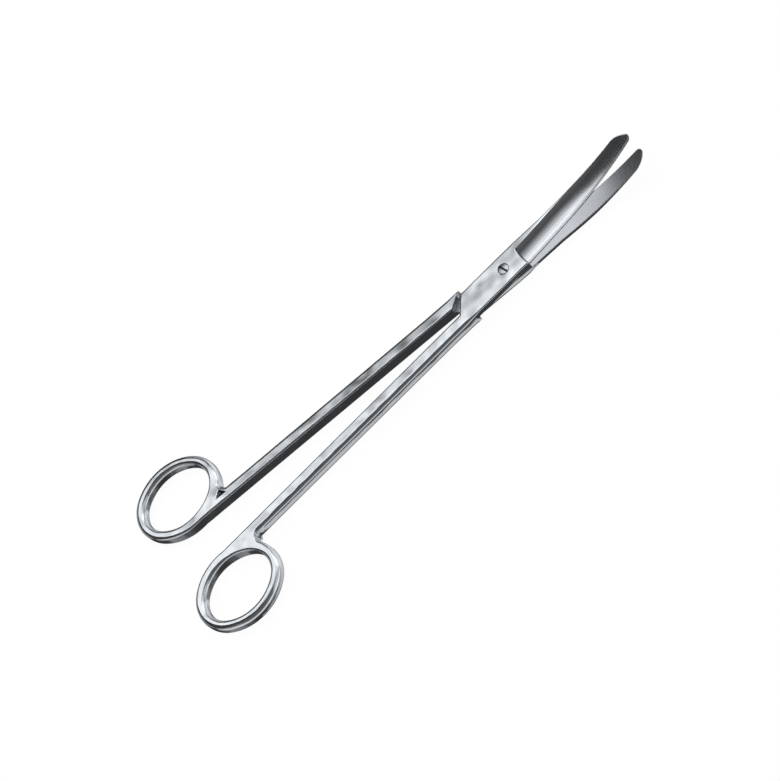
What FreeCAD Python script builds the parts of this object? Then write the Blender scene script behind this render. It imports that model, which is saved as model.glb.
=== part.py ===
"""Curved surgical scissors with long shanks: two forged halves and the screw that they turn on.

Each half is drawn in its own closed frame. The pivot axis is Z, the closed cutting line runs along +Y,
and z = 0 is the middle of the lap where the two halves lie on each other. The outer face of the half
looks to +Z, its shank and ring lie on +X and its blade on -X. The lower half is the same forging turned
half round about Y, with its blade bent the other way, so that both blades bow upwards together.
"""

import FreeCAD, Part
import math
import os

import Sketcher
from FreeCAD import Placement, Rotation, Vector

SIZES = {
    "joint_width": (10.0, "width of the lap joint"),
    "joint_thickness": (4.65, "thickness over both halves at the joint, and of shanks and rings"),
    "joint_front": (7.0, "from the pivot to the shoulder where the hollow grinding starts"),
    "shoulder_radius": (13.0, "plan radius of that curved shoulder"),
    "lap_gap": (0.1, "running gap between the two lapped faces"),
    "stop_outer": (15.2, "from the pivot to the angled end of the lap, at its outer side"),
    "stop_inner": (19.9, "from the pivot to the angled end of the lap, at the shank"),
    "stop_gap": (0.3, "closed gap between that end and the other half's shoulder, outer side"),
    "stop_wedge": (0.6, "how much that gap grows towards the shank"),
    "shank_slot": (0.6, "from the closed centre line to the flat inner side of a shank"),
    "shank_taper": (0.4, "how much narrower a shank is where its ring starts"),
    "shank_round": (1.35, "rounding of the outer side of a shank"),
    "shank_break": (0.2, "rounding of the inner side of a shank"),
    "ring_reach": (128.2, "from the pivot to the middle of a ring"),
    "ring_gap": (0.3, "from the closed centre line to a ring"),
    "hole_length": (25.1, "length of the hole in a ring"),
    "hole_width": (20.3, "width of the hole in a ring"),
    "end_radius": (8.6, "radius of that hole at its two ends; its sides are arcs that run on from there"),
    "ring_wall": (3.4, "width of the bar that a ring is bent from"),
    "ring_bevel": (1.05, "bevel along the four edges of that bar"),
    "ring_crown": (0.15, "how far it is crowned between them, above and below"),
    "foot_margin": (0.35, "how deep the end of the neck lies inside the bar of the ring"),
    "foot_round": (1.2, "rounding of that end"),
    "web_radius": (1.8, "fillet between shank and ring"),
    "web_recess": (0.4, "how far the web lies below the shank on the side of the lap"),
    "blade_reach": (56.65, "from the pivot to the tip"),
    "blade_root": (4.9, "from the centre line to the back of the blade at the joint"),
    "blade_back": (4.2, "from the centre line to the back of the blade further on"),
    "back_start": (20.0, "from the pivot to where the back has come in to that"),
    "nose_length": (6.65, "from the tip to where the back starts to curve in to it"),
    "nose_radius": (8.5, "radius of that curve"),
    "nose_offset": (1.0, "from the centre line to the end of that curve"),
    "tip_radius": (1.3, "rounding of the tip into the cutting edge"),
    "root_overlap": (5.0, "how far blade and shank run into the joint"),
    "edge_root": (4.5, "from the centre line to the cutting edge, level with the pivot"),
    "edge_lean": (3.8, "degrees by which the cutting edge leans to the centre line"),
    "edge_land": (0.12, "thickness of the cutting edge itself"),
    "bevel_width": (0.7, "width of the bevel along the cutting edge"),
    "bevel_height": (0.5, "thickness of the blade where the bevel starts"),
    "hollow_width": (6.3, "from the cutting edge to the back of the hollow grinding"),
    "hollow_radius": (8.5, "radius of the hollow grinding"),
    "bow_start": (25.0, "from the pivot to where the blades start to bow upwards"),
    "bow_radius": (108.0, "radius of the bow, on the faces that slide"),
    "tip_thickness": (1.6, "thickness of the back of a blade at its tip"),
    "screw_head": (3.7, "diameter of the screw head"),
    "head_height": (0.85, "height of the screw head below the outer face"),
    "head_crown": (0.12, "how far the head stands above that face"),
    "head_play": (0.08, "gap round the screw head"),
    "pivot_pin": (2.8, "diameter of the plain part that the upper half turns on"),
    "pivot_play": (0.03, "gap round that part"),
    "screw_thread": (2.3, "diameter of the part that is screwed into the lower half"),
    "thread_play": (0.01, "gap round that part"),
    "slot_width": (0.55, "width of the driver slot"),
    "slot_depth": (0.45, "depth of the driver slot"),
    "slot_turn": (17.7, "degrees from +X to the slot"),
    "rest_angle": (3.15, "degrees by which each half is open as it lies"),
}

HALF = "(Sizes.joint_thickness / 2)"
OUTER = "(Sizes.joint_width / 2)"
FACE = "(Sizes.lap_gap / 2)"
RING_LONG = "(Sizes.hole_length / 2)"
RING_WIDE = "(Sizes.hole_width / 2)"
RING_X = f"(Sizes.ring_gap + Sizes.ring_wall + {RING_WIDE})"
END_RISE = f"({RING_LONG} - Sizes.end_radius)"
OVAL_SQUARES = f"({RING_WIDE} ^ 2 + {END_RISE} ^ 2 - Sizes.end_radius ^ 2)"
SIDE_RADIUS = f"({OVAL_SQUARES} / (2 * ({RING_WIDE} - Sizes.end_radius)))"
SIDE_SHIFT = f"({SIDE_RADIUS} - {RING_WIDE})"
MEETING = f"atan({END_RISE} / {SIDE_SHIFT})"
END_OUTSIDE = "(Sizes.end_radius + Sizes.ring_wall)"
WRIST_X = f"({OUTER} - Sizes.shank_taper)"
WRIST_LEAN = f"(({RING_X} - {WRIST_X} - Sizes.web_radius) / ({END_OUTSIDE} + Sizes.web_radius))"
WRIST_RISE = f"sqrt(1 - {WRIST_LEAN} ^ 2)"
WRIST = f"(Sizes.ring_reach - {END_RISE} - ({END_OUTSIDE} + Sizes.web_radius) * {WRIST_RISE})"
FAR = "(5 * Sizes.joint_thickness)"
PAST = "(Sizes.blade_reach + Sizes.root_overlap)"
FLAT = 0.001


def make_sheet(doc):
    """The driving sizes, one row each: name, number, what it is."""
    sheet = doc.addObject("Spreadsheet::Sheet", "Sizes")
    for row, (alias, (value, meaning)) in enumerate(SIZES.items(), start=1):
        sheet.set(f"A{row}", alias)
        sheet.set(f"B{row}", str(value))
        sheet.set(f"C{row}", meaning)
        sheet.setAlias(f"B{row}", alias)
    doc.recompute()
    return sheet


def new_body(doc, label):
    body = doc.addObject("PartDesign::Body", label)
    body.Label = label
    return body


def sketch_on(body, role, name, shift=("0", "0", "0"), turn="0", axis=Vector(0, 1, 0)):
    """A sketch on one of the body's own origin planes, shifted along the sketch's axes and turned."""
    plane = [part for part in body.Origin.OriginFeatures if part.Role == role][0]
    sketch = body.newObject("Sketcher::SketchObject", name)
    sketch.AttachmentSupport = [(plane, "")]
    sketch.MapMode = "FlatFace"
    sketch.AttachmentOffset = Placement(Vector(0, 0, 0), Rotation(axis, 0))
    for letter, formula in zip("xyz", shift):
        sketch.setExpression(f"AttachmentOffset.Base.{letter}", formula)
    if turn != "0":
        sketch.AttachmentOffset = Placement(Vector(0, 0, 0), Rotation(axis, 1))
        sketch.setExpression("AttachmentOffset.Rotation.Angle", turn)
    return sketch


def value_of(sketch, formula):
    return float(sketch.evalExpression(formula))


def pin(sketch, geometry, end, x_formula, y_formula):
    """Holds one end of an edge at a place that follows the sheet."""
    for kind, formula in (("DistanceX", x_formula), ("DistanceY", y_formula)):
        number = value_of(sketch, formula)
        index = sketch.addConstraint(Sketcher.Constraint(kind, -1, 1, geometry, end, number))
        sketch.setExpression(f"Constraints[{index}]", formula)


def add_arc(sketch, start, finish, radius, side):
    """An arc between two points; side is +1 to bulge to the right of the way, -1 to the left."""
    chord = finish - start
    middle = (start + finish) * 0.5
    left = Vector(-chord.y, chord.x, 0).normalize()
    rise = math.sqrt(radius**2 - (chord.Length / 2) ** 2)
    centre = middle + left * rise * side
    first, last = (start, finish) if side > 0 else (finish, start)
    circle = Part.Circle(centre, Vector(0, 0, 1), radius)
    begin = math.atan2(first.y - centre.y, first.x - centre.x)
    end = math.atan2(last.y - centre.y, last.x - centre.x)
    return sketch.addGeometry(Part.ArcOfCircle(circle, begin, end))


def draw_path(sketch, corners, arcs, closed):
    """Edges through the corners. arcs maps the number of an edge to its radius formula and its side."""
    points = [Vector(value_of(sketch, x), value_of(sketch, y), 0) for x, y in corners]
    count = len(corners) if closed else len(corners) - 1
    ends = []
    for number in range(count):
        start = points[number]
        finish = points[(number + 1) % len(points)]
        if number in arcs:
            formula, side = arcs[number]
            edge = add_arc(sketch, start, finish, value_of(sketch, formula), side)
            ends.append((edge, 1, 2) if side > 0 else (edge, 2, 1))
        else:
            edge = sketch.addGeometry(Part.LineSegment(start, finish))
            ends.append((edge, 1, 2))
    for number, (edge, begin, end) in enumerate(ends):
        pin(sketch, edge, begin, *corners[number])
        if number in arcs:
            formula = arcs[number][0]
            radius = value_of(sketch, formula)
            index = sketch.addConstraint(Sketcher.Constraint("Radius", edge, radius))
            sketch.setExpression(f"Constraints[{index}]", formula)
        if closed or number + 1 < count:
            following = ends[(number + 1) % count]
            sketch.addConstraint(Sketcher.Constraint("Coincident", edge, end, following[0], following[1]))
        else:
            pin(sketch, edge, end, *corners[number + 1])
    return sketch


def draw_circle(sketch, radius_formula):
    radius = value_of(sketch, radius_formula)
    edge = sketch.addGeometry(Part.Circle(Vector(0, 0, 0), Vector(0, 0, 1), radius))
    sketch.addConstraint(Sketcher.Constraint("Coincident", edge, 3, -1, 1))
    index = sketch.addConstraint(Sketcher.Constraint("Radius", edge, radius))
    sketch.setExpression(f"Constraints[{index}]", radius_formula)
    return sketch


def draw_bar(sketch, left, right, height, left_round, right_round):
    """The section of a bar with rounded corners, centred on the lap."""
    low, high = f"-({height}) / 2", f"({height}) / 2"
    corners = [
        (f"{left} + {left_round}", low),
        (f"{right} - {right_round}", low),
        (right, f"{low} + {right_round}"),
        (right, f"{high} - {right_round}"),
        (f"{right} - {right_round}", high),
        (f"{left} + {left_round}", high),
        (left, f"{high} - {left_round}"),
        (left, f"{low} + {left_round}"),
    ]
    arcs = {1: (right_round, 1), 3: (right_round, 1), 5: (left_round, 1), 7: (left_round, 1)}
    return draw_path(sketch, corners, arcs, True)


def bar_section(body, name, reach, left, right, height, left_round, right_round):
    """That section at a distance from the pivot towards the ring."""
    section = sketch_on(body, "XZ_Plane", name, ("0", "0", reach))
    return draw_bar(section, left, right, height, left_round, right_round)


def add_loft(body, name, first, second):
    loft = body.newObject("PartDesign::AdditiveLoft", name)
    loft.Profile = first
    loft.Sections = [second]
    loft.Ruled = True
    return loft


def add_pad(body, name, sketch, length):
    pad = body.newObject("PartDesign::Pad", name)
    pad.Profile = sketch
    pad.setExpression("Length", length)
    return pad


def add_pocket(body, name, sketch, length):
    pocket = body.newObject("PartDesign::Pocket", name)
    pocket.Profile = sketch
    pocket.setExpression("Length", length)
    return pocket


def add_fillet(body, name, base, edges, radius):
    fillet = body.newObject("PartDesign::Fillet", name)
    fillet.Base = (base, edges)
    fillet.setExpression("Radius", radius)
    body.Document.recompute()
    return fillet


def sink(reach, bend):
    """How far the face that slides has bowed at a distance from the pivot, towards +Z for bend 1."""
    run = f"({reach} - Sizes.bow_start)"
    return f"({bend} * (Sizes.bow_radius - sqrt(Sizes.bow_radius ^ 2 - {run} ^ 2)))"


def make_shank(body):
    """The long shank: flat on its inner side, rounded on its outer side and a little narrower at its end."""
    start = "(Sizes.stop_outer - Sizes.root_overlap)"
    plan = sketch_on(body, "XY_Plane", "shank_plan", ("0", "0", f"-{HALF}"))
    corners = [
        (OUTER, f"-{start}"),
        ("Sizes.shank_slot", f"-{start}"),
        ("Sizes.shank_slot", f"-{WRIST}"),
        (WRIST_X, f"-{WRIST}"),
    ]
    draw_path(plan, corners, {}, True)
    bar = add_pad(body, "shank", plan, "Sizes.joint_thickness")
    body.Document.recompute()
    middle = bar.Shape.CenterOfMass
    long_edges = [
        (f"Edge{number}", edge.CenterOfMass.x > middle.x)
        for number, edge in enumerate(bar.Shape.Edges, start=1)
        if edge.BoundBox.YLength > bar.Shape.BoundBox.YLength / 2
    ]
    outer = [name for name, is_outer in long_edges if is_outer]
    rounded = add_fillet(body, "outer_rounding", bar, outer, "Sizes.shank_round")
    inner = [
        f"Edge{number}"
        for number, edge in enumerate(rounded.Shape.Edges, start=1)
        if edge.BoundBox.YLength > bar.Shape.BoundBox.YLength / 2
        and abs(edge.BoundBox.XMin - bar.Shape.BoundBox.XMin) < FLAT
        and edge.BoundBox.XLength < FLAT
    ]
    add_fillet(body, "inner_break", rounded, inner, "Sizes.shank_break")


def make_ring(body):
    """The finger ring: a crowned bar turned through four arcs, two at the ends and two at the sides."""
    end_turn = f"(180deg - 2 * {MEETING})"
    side_turn = f"(2 * {MEETING})"
    arcs = [
        ("side_by_the_fingers", f"{RING_X} - {SIDE_SHIFT}", "0", f"-1 * {MEETING}", side_turn, SIDE_RADIUS),
        ("end_by_the_shank", RING_X, END_RISE, MEETING, end_turn, "Sizes.end_radius"),
        ("side_by_the_shank", f"{RING_X} + {SIDE_SHIFT}", "0", f"180deg - {MEETING}", side_turn, SIDE_RADIUS),
        ("far_end", RING_X, f"(-1 * {END_RISE})", f"180deg + {MEETING}", end_turn, "Sizes.end_radius"),
    ]
    for name, centre_x, rise, start, turn, radius in arcs:
        place = (centre_x, "0", f"Sizes.ring_reach - {rise}")
        section = sketch_on(body, "XZ_Plane", f"{name}_section", place, start)
        draw_crowned_bar(section, radius)
        quarter = body.newObject("PartDesign::Revolution", name)
        quarter.Profile = section
        quarter.ReferenceAxis = (section, ["V_Axis"])
        quarter.setExpression("Angle", turn)


def draw_crowned_bar(sketch, radius):
    """The section of the ring: flat sides and bevelled edges, with its top and its underside crowned."""
    bevel_height = f"({HALF} - Sizes.ring_crown)"
    side_height = f"({bevel_height} - Sizes.ring_bevel)"
    far = f"({radius} + Sizes.ring_wall)"
    corners = [
        (radius, f"-{side_height}"),
        (f"{radius} + Sizes.ring_bevel", f"-{bevel_height}"),
        (f"{far} - Sizes.ring_bevel", f"-{bevel_height}"),
        (far, f"-{side_height}"),
        (far, side_height),
        (f"{far} - Sizes.ring_bevel", bevel_height),
        (f"{radius} + Sizes.ring_bevel", bevel_height),
        (radius, side_height),
    ]
    half_top = "(Sizes.ring_wall / 2 - Sizes.ring_bevel)"
    crown = f"(({half_top} ^ 2 + Sizes.ring_crown ^ 2) / (2 * Sizes.ring_crown))"
    return draw_path(sketch, corners, {1: (crown, 1), 5: (crown, 1)}, True)


def make_neck(body):
    """The neck between shank and ring, which ends inside the bar of the ring."""
    wrist = ["Sizes.shank_slot", WRIST_X, "Sizes.joint_thickness", "Sizes.shank_break", "Sizes.shank_round"]
    foot_gap = "Sizes.ring_gap + Sizes.foot_margin"
    foot_side = "Sizes.ring_gap + Sizes.ring_wall - Sizes.foot_margin"
    foot_height = "Sizes.joint_thickness - 2 * Sizes.foot_margin"
    foot = [foot_gap, foot_side, foot_height, "Sizes.foot_round", "Sizes.foot_round"]
    first = bar_section(body, "wrist_section", WRIST, *wrist)
    second = bar_section(body, "foot_section", "Sizes.ring_reach", *foot)
    add_loft(body, "neck", first, second)


def make_web(body):
    """The web in the corner between shank and ring, flush outside and recessed on the side of the lap."""
    foot_x = f"({RING_X} - {WRIST_LEAN} * {END_OUTSIDE})"
    foot_y = f"({END_RISE} + {WRIST_RISE} * {END_OUTSIDE} - Sizes.ring_reach)"
    under = f"({HALF} - Sizes.web_recess)"
    plan = sketch_on(body, "XY_Plane", "web_plan", ("0", "0", f"-{under}"))
    corners = [
        (f"{foot_x} + Sizes.ring_bevel", f"{foot_y} - Sizes.ring_bevel"),
        (foot_x, foot_y),
        (WRIST_X, f"-{WRIST}"),
        (f"{WRIST_X} - Sizes.shank_round", f"Sizes.ring_wall - {WRIST}"),
        (f"{WRIST_X} - Sizes.shank_round", f"{foot_y} - Sizes.ring_wall"),
    ]
    draw_path(plan, corners, {1: ("Sizes.web_radius", -1)}, True)
    add_pad(body, "web", plan, f"{under} + {HALF} - Sizes.shank_break")


def make_blade(body):
    """The blade from the joint to its blunt tip in plan, far thicker than it is before it is ground."""
    start = "(Sizes.joint_front - Sizes.root_overlap)"
    lean = "tan(Sizes.edge_lean * 1deg)"
    plan = sketch_on(body, "XY_Plane", "blade_plan", ("0", "0", f"-{FAR}"))
    tip_y = "(Sizes.blade_reach - Sizes.tip_radius)"
    corners = [
        (f"Sizes.edge_root - {start} * {lean}", start),
        (f"Sizes.edge_root - {tip_y} * {lean}", tip_y),
        ("-Sizes.nose_offset", "Sizes.blade_reach"),
        ("-Sizes.blade_back", "Sizes.blade_reach - Sizes.nose_length"),
        ("-Sizes.blade_back", "Sizes.back_start"),
        ("-Sizes.blade_root", start),
    ]
    arcs = {1: ("Sizes.tip_radius", 1), 2: ("Sizes.nose_radius", 1)}
    draw_path(plan, corners, arcs, True)
    add_pad(body, "blade_blank", plan, f"2 * {FAR}")


def grind_outer_face(body, bend):
    """Cuts the outer face: level with the joint, then bowed, so that the blade thins to its tip."""
    run = "(Sizes.blade_reach - Sizes.bow_start)"
    drop = f"({HALF} - Sizes.tip_thickness - {sink('Sizes.blade_reach', bend)})"
    radius = f"(({run} ^ 2 + {drop} ^ 2) / (2 * {bend_size(drop, bend)}))"
    past_run = f"({PAST} - Sizes.bow_start)"
    end = f"({HALF} + {bend} * ({radius} - sqrt({radius} ^ 2 - {past_run} ^ 2)))"
    side = sketch_on(body, "YZ_Plane", "outer_profile", ("0", "0", "2 * Sizes.joint_width"))
    corners = [
        ("0", HALF),
        ("Sizes.bow_start", HALF),
        (PAST, end),
        (PAST, f"2 * {FAR}"),
        ("0", f"2 * {FAR}"),
    ]
    draw_path(side, corners, {1: (radius, bend)}, True)
    add_pocket(body, "outer_face", side, "4 * Sizes.joint_width")


def bend_size(drop, bend):
    """The drop of the outer face as a positive length, whichever way the blade bows."""
    return f"(-1 * {bend} * {drop})"


def grind_hollow(body, bend):
    """Cuts the hollow and the bevel beside the cutting edge with one section carried along the blade."""
    place = ("0", "0", "Sizes.edge_root")
    path = sketch_on(body, "YZ_Plane", "hollow_path", place, "Sizes.edge_lean")
    corners = [("0", "0"), ("Sizes.bow_start", "0"), (PAST, sink(PAST, bend))]
    draw_path(path, corners, {1: ("Sizes.bow_radius", bend)}, False)

    section = sketch_on(body, "XZ_Plane", "hollow_section", ("Sizes.edge_root", "0", "0"), "Sizes.edge_lean")
    outside = "(3 * Sizes.bevel_width)"
    above = "(3 * Sizes.joint_thickness)"
    slope = "((Sizes.bevel_height - Sizes.edge_land) / Sizes.bevel_width)"
    corners = [
        (outside, f"{FACE} + Sizes.edge_land - {outside} * {slope}"),
        (outside, above),
        ("-Sizes.hollow_width", above),
        ("-Sizes.hollow_width", HALF),
        ("-Sizes.bevel_width", f"{FACE} + Sizes.bevel_height"),
    ]
    draw_path(section, corners, {3: ("Sizes.hollow_radius", 1)}, True)
    hollow = body.newObject("PartDesign::SubtractivePipe", "hollow")
    hollow.Profile = section
    hollow.Spine = (path, ["Edge1", "Edge2"])


def grind_inner_face(body, bend):
    """Turns the inner face about the pivot, so that it slides on the other blade at every opening."""
    section = sketch_on(body, "YZ_Plane", "inner_section")
    corners = [
        ("0", FACE),
        ("Sizes.bow_start", FACE),
        (PAST, f"{FACE} + {sink(PAST, bend)}"),
        (PAST, f"-2 * {FAR}"),
        ("0", f"-2 * {FAR}"),
    ]
    draw_path(section, corners, {1: ("Sizes.bow_radius", bend)}, True)
    face = body.newObject("PartDesign::Groove", "inner_face")
    face.Profile = section
    face.ReferenceAxis = (section, ["V_Axis"])
    face.Midplane = True
    face.Angle = 180


def make_joint(body):
    """The lap: half of the thickness, with an angled end, and the shoulder that stops the other half."""
    across = f"({OUTER} - Sizes.shank_slot)"
    slope = f"((Sizes.stop_inner - Sizes.stop_outer + Sizes.stop_wedge) / {across})"
    outer_y = "(Sizes.stop_outer + Sizes.stop_gap)"
    spare = OUTER
    cut = sketch_on(body, "XY_Plane", "lap_cut_plan", ("0", "0", FACE))
    corners = [
        (f"{OUTER} + {spare}", f"-{outer_y} + {spare} * {slope}"),
        (f"{OUTER} + {spare}", "0"),
        (f"-{spare}", "0"),
        (f"-{spare}", f"-{outer_y} - ({OUTER} + {spare}) * {slope}"),
    ]
    draw_path(cut, corners, {}, True)
    add_pocket(body, "lap_cut", cut, "Sizes.joint_thickness")

    plan = sketch_on(body, "XY_Plane", "joint_plan", ("0", "0", FACE))
    hollow_back = "(Sizes.edge_root - Sizes.joint_front * tan(Sizes.edge_lean * 1deg) - Sizes.hollow_width)"
    corners = [
        (OUTER, f"-{outer_y}"),
        (OUTER, "Sizes.joint_front"),
        (hollow_back, "Sizes.joint_front"),
        ("-Sizes.blade_root", "Sizes.joint_front"),
        (f"-{OUTER}", "0"),
        (f"-{OUTER}", "-Sizes.stop_outer"),
        ("Sizes.shank_slot", "-Sizes.stop_inner"),
        ("Sizes.shank_slot", f"-{outer_y} - {across} * {slope}"),
    ]
    draw_path(plan, corners, {1: ("Sizes.shoulder_radius", -1)}, True)
    add_pad(body, "joint", plan, f"{HALF} - {FACE}")


def bore_for_screw(body, carries_head):
    """The upper half has a bore to turn on and a seat for the head, the lower half the threaded hole."""
    plan = sketch_on(body, "XY_Plane", "bore_plan", ("0", "0", HALF))
    if carries_head:
        draw_circle(plan, "(Sizes.pivot_pin / 2 + Sizes.pivot_play)")
        seat = sketch_on(body, "XY_Plane", "head_seat_plan", ("0", "0", HALF))
        draw_circle(seat, "(Sizes.screw_head / 2 + Sizes.head_play)")
        add_pocket(body, "head_seat", seat, "Sizes.head_height")
    else:
        draw_circle(plan, "(Sizes.screw_thread / 2 + Sizes.thread_play)")
    add_pocket(body, "bore", plan, "Sizes.joint_thickness")


def make_half(doc, label, bend):
    """One forging with its blade, half of the lap joint, shank and ring."""
    body = new_body(doc, label)
    make_shank(body)
    make_ring(body)
    make_neck(body)
    make_web(body)
    make_blade(body)
    grind_outer_face(body, bend)
    grind_hollow(body, bend)
    grind_inner_face(body, bend)
    make_joint(body)
    bore_for_screw(body, bend > 0)
    return body


def make_screw(doc):
    """The pivot screw: slotted head, plain part in the upper half, threaded part in the lower half."""
    body = new_body(doc, "joint_screw")
    head_under = f"({HALF} - Sizes.head_height)"
    corners = [
        ("0", f"-{HALF}"),
        ("Sizes.screw_thread / 2", f"-{HALF}"),
        ("Sizes.screw_thread / 2", f"-{FACE}"),
        ("Sizes.pivot_pin / 2", f"-{FACE}"),
        ("Sizes.pivot_pin / 2", head_under),
        ("Sizes.screw_head / 2", head_under),
        ("Sizes.screw_head / 2", HALF),
        ("0", f"{HALF} + Sizes.head_crown"),
    ]
    crown = "(((Sizes.screw_head / 2) ^ 2 + Sizes.head_crown ^ 2) / (2 * Sizes.head_crown))"
    profile = sketch_on(body, "XZ_Plane", "screw_profile")
    draw_path(profile, corners, {6: (crown, 1)}, True)
    screw = body.newObject("PartDesign::Revolution", "screw")
    screw.Profile = profile
    screw.ReferenceAxis = (profile, ["V_Axis"])
    screw.Angle = 360

    top = f"{HALF} + Sizes.head_crown"
    slot = sketch_on(body, "XY_Plane", "slot_plan", ("0", "0", top), "Sizes.slot_turn", Vector(0, 0, 1))
    reach, half_width = "Sizes.screw_head", "(Sizes.slot_width / 2)"
    corners = [
        (f"-{reach}", f"-{half_width}"),
        (reach, f"-{half_width}"),
        (reach, half_width),
        (f"-{reach}", half_width),
    ]
    draw_path(slot, corners, {}, True)
    add_pocket(body, "slot", slot, "Sizes.slot_depth + Sizes.head_crown")
    body.setExpression("Placement.Base.z", HALF)
    return body


def place_upper(upper):
    """The upper half is turned about the pivot by its share of the opening."""
    upper.Placement = Placement(Vector(0, 0, 0), Rotation(Vector(0, 0, 1), 1))
    upper.setExpression("Placement.Rotation.Angle", "Sizes.rest_angle")
    upper.setExpression("Placement.Base.z", HALF)


def place_lower(lower):
    """The lower half lies face down: half a turn about an axis in the lap that leans by half the angle."""
    lower.Placement = Placement(Vector(0, 0, 0), Rotation(Vector(0, 1, 0), 180))
    lower.setExpression("Placement.Rotation.Axis.x", "sin(Sizes.rest_angle / 2 * 1deg)")
    lower.setExpression("Placement.Rotation.Axis.y", "cos(Sizes.rest_angle / 2 * 1deg)")
    lower.setExpression("Placement.Base.z", HALF)


def check(doc, bodies):
    """Stops if anything in the document failed, or if a piece is not one sound solid."""
    for item in doc.Objects:
        if "Invalid" in item.State or "Error" in item.State:
            raise RuntimeError(f"{item.Name} failed: {item.State}")
    for body in bodies:
        if body.Shape.isNull() or not body.Shape.isValid() or len(body.Shape.Solids) != 1:
            raise RuntimeError(f"{body.Label} is not one sound solid")


def export(bodies):
    os.makedirs("parts", exist_ok=True)
    for body in bodies:
        body.Shape.exportStep(f"parts/{body.Label}.step")
        box = body.Shape.BoundBox
        print(f"{body.Label}: {body.Shape.Volume:.1f} mm3, x {box.XMin:.2f} {box.XMax:.2f},"
              f" y {box.YMin:.2f} {box.YMax:.2f}, z {box.ZMin:.2f} {box.ZMax:.2f}")


def main():
    doc = FreeCAD.newDocument("scissors")
    make_sheet(doc)
    upper = make_half(doc, "upper_half", 1)
    lower = make_half(doc, "lower_half", -1)
    screw = make_screw(doc)
    place_upper(upper)
    place_lower(lower)
    doc.recompute()
    bodies = [upper, lower, screw]
    check(doc, bodies)
    export(bodies)


main()
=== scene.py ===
# %% [markdown]
# # Curved surgical scissors: giving forged and polished steel its look
# The CAD model has the sizes of the three pieces. This lesson gives each of them a dense, smooth surface,
# because polished steel shows every facet, and then lights them as in the photograph. The frame comes
# first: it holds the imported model, and its box is kept, so that the dressed scissors can be compared with
# it.

# %% Load the frame
import math

import bmesh
import bpy
import numpy as np
from mathutils import Matrix, Vector


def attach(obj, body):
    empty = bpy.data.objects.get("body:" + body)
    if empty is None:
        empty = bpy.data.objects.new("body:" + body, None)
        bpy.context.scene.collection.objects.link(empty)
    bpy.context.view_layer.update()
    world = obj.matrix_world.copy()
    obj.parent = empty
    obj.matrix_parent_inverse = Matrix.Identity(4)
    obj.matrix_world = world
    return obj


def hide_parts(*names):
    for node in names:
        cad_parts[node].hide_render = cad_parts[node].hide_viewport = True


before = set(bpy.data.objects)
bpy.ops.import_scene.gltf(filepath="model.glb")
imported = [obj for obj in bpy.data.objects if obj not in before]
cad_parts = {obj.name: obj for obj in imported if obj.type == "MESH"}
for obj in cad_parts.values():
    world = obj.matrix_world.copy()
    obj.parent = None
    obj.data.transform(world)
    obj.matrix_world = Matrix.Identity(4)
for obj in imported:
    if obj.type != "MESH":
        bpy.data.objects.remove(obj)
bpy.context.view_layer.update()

# %% [markdown]
# ## The camera
# The photograph looks down on the scissors from the side of the ring, from about 53 degrees above the
# table. Its view was worked out from the ellipses of the rings and from the directions of the shanks. A
# long lens from a metre away keeps them nearly parallel, as they are there.

# %% Place the camera
MM = 0.001
PHOTO_WIDTH, PHOTO_HEIGHT = 780, 781
FOCAL_PIXELS = 3180
MM_PER_PIXEL = 0.312
PIVOT_TOP = np.array((0.0, 0.0, 4.65))
PIVOT_PIXEL = (503.2, 269.0)
SENSOR_MM, CLIP_START = 36.0, 0.05
camera_right = np.array((0.4943, 0.7353, -0.4637))
camera_up = np.array((-0.6347, 0.6698, 0.3853))
to_camera = np.array((0.5939, 0.1039, 0.7978))


def camera_place():
    """The pivot's place, less its pixel's offset from the middle of the picture, plus the distance back."""
    right = (PIVOT_PIXEL[0] - PHOTO_WIDTH / 2) * MM_PER_PIXEL
    up = (PHOTO_HEIGHT / 2 - PIVOT_PIXEL[1]) * MM_PER_PIXEL
    distance = FOCAL_PIXELS * MM_PER_PIXEL
    return PIVOT_TOP - camera_right * right - camera_up * up + to_camera * distance


camera_data = bpy.data.cameras.new("photo_view")
camera_data.sensor_fit = "VERTICAL"
camera_data.sensor_height = SENSOR_MM
camera_data.lens = SENSOR_MM * FOCAL_PIXELS / PHOTO_HEIGHT
camera_data.clip_start = CLIP_START
camera = bpy.data.objects.new("photo_view", camera_data)
bpy.context.scene.collection.objects.link(camera)
axes = Matrix((camera_right, camera_up, to_camera)).transposed().to_4x4()
camera.matrix_world = Matrix.Translation(Vector(camera_place() * MM)) @ axes
bpy.context.scene.camera = camera
print("camera at", [round(value, 4) for value in camera.location], "lens", round(camera_data.lens, 1))

# %% [markdown]
# ## The sizes of one half
# Both halves are the same forging, drawn in its own closed frame: the pivot is the origin, the closed
# cutting line runs along +Y, the lap lies at z = 0, the outer face looks to +Z, the shank is on +X and the
# blade on -X. All numbers are millimetres, as in the CAD model, and one factor turns them to metres at the
# end.

# %% Name the sizes
# Joint: half its width, half the thickness of a half, half the gap of the sliding faces, and the shoulder.
JOINT_HALF, HALF, FACE = 5.0, 2.325, 0.05
FRONT, SHOULDER_RADIUS, SHOULDER_RUN = 7.0, 13.0, 0.45
# Lap: its slanted end from the outer to the inner side, the play behind it, its wedge, and half the slit.
STOP_OUTER, STOP_INNER, STOP_GAP, STOP_WEDGE, SLOT = 15.2, 19.9, 0.3, 0.6, 0.6
# Neck and ring: the end of the shank, the middle of the hole, the wall, the hole's half sizes, the web.
WRIST_X, WRIST_Y = 4.6, 112.63
RING_X, RING_Y, RING_WALL = 13.85, 128.2, 3.38
HOLE_LONG, HOLE_WIDE, END_RADIUS = 12.55, 10.15, 8.6
WEB_RADIUS, WEB_DEEP = 1.8, 0.45
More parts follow.
